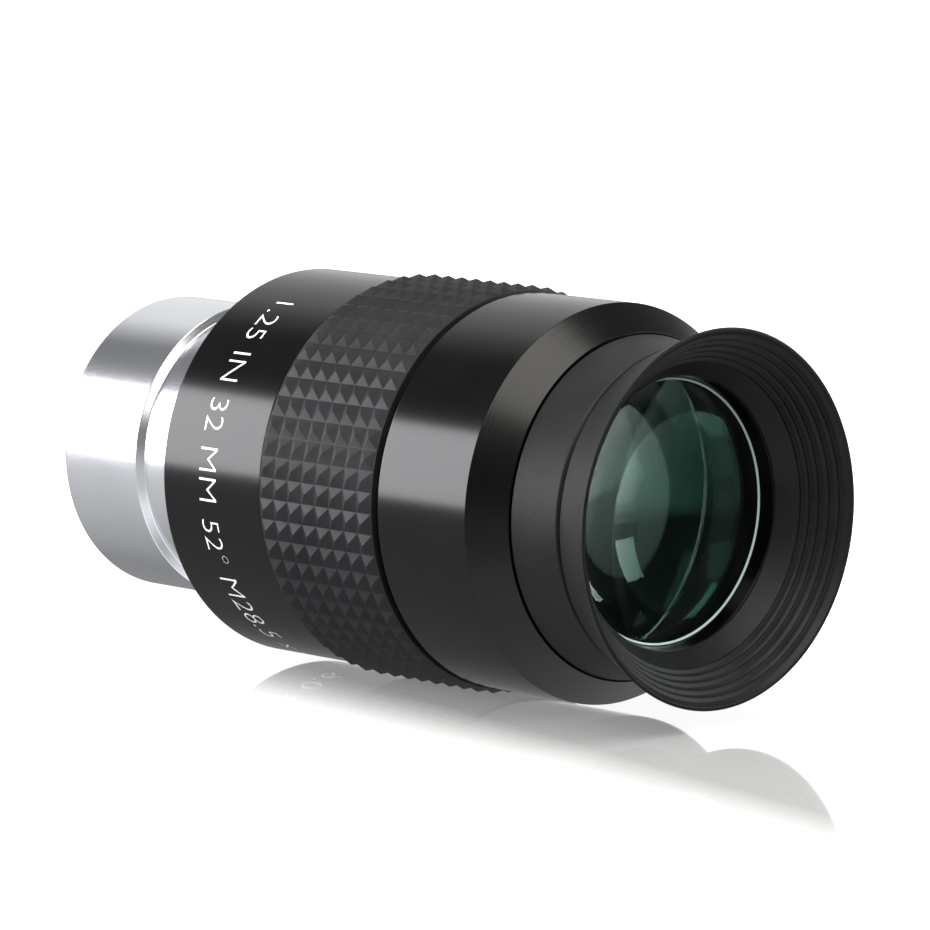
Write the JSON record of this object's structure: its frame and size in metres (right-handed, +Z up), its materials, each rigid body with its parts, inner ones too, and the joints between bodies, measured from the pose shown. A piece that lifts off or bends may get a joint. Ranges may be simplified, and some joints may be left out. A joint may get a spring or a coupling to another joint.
{
  "type": "telescope eyepiece",
  "caption": "Round eyepiece with a plated barrel for a 1.25 inch focuser, black housing, pyramid-knurled rubber grip, coated glass and a fold-down flared rubber eyecup.",
  "frame": {"origin": "where the optical axis meets the shoulder that seats on the focuser", "axes": "+X along the optical axis towards the eye, +Z up while the eyepiece lies on its side on the grip, legend facing -Y"},
  "size_m": [0.0843, 0.0424, 0.0424],
  "materials": {
    "plated_barrel": "satin chrome plate over brass, with fine turning lines round it",
    "black_anodised": "glossy black anodised, turned",
    "matt_black_metal": "matt black, anti-reflection",
    "grip_rubber": "matt dark blue-grey rubber moulded in pyramids",
    "eyecup_rubber": "matt soft dark grey rubber",
    "coated_glass": "polished, multi-coated with a green and teal reflection"
  },
  "bodies": {
    "nosepiece": {"nosepiece_barrel": "plated_barrel", "field_stop_ring": "matt_black_metal"},
    "housing": {"lower_housing": "black_anodised", "glare_baffle": "matt_black_metal", "upper_housing": "black_anodised", "grip_ring": "grip_rubber", "lens_cell": "matt_black_metal", "field_flint_lens": "coated_glass", "field_crown_lens": "coated_glass", "doublet_spacer": "matt_black_metal", "eye_crown_lens": "coated_glass", "eye_flint_lens": "coated_glass", "field_lens_retainer": "matt_black_metal", "eye_lens_retainer": "black_anodised", "eyecup_base": "eyecup_rubber", "eyecup_flare": "eyecup_rubber"},
    "cup_rim": {"eyecup_lip": "eyecup_rubber"}
  },
  "joints": [
    {"name": "barrel_thread", "type": "hinge", "parent": "nosepiece", "child": "housing", "pos_m": [0, 0, 0], "axis": [1, 0, 0], "range_deg": [0, 2700]},
    {"name": "eyecup_fold", "type": "slide", "parent": "housing", "child": "cup_rim", "axis": [-1, 0, 0], "range_m": [0, 0.0103], "deforming": ["eyecup_flare"]}
  ]
}
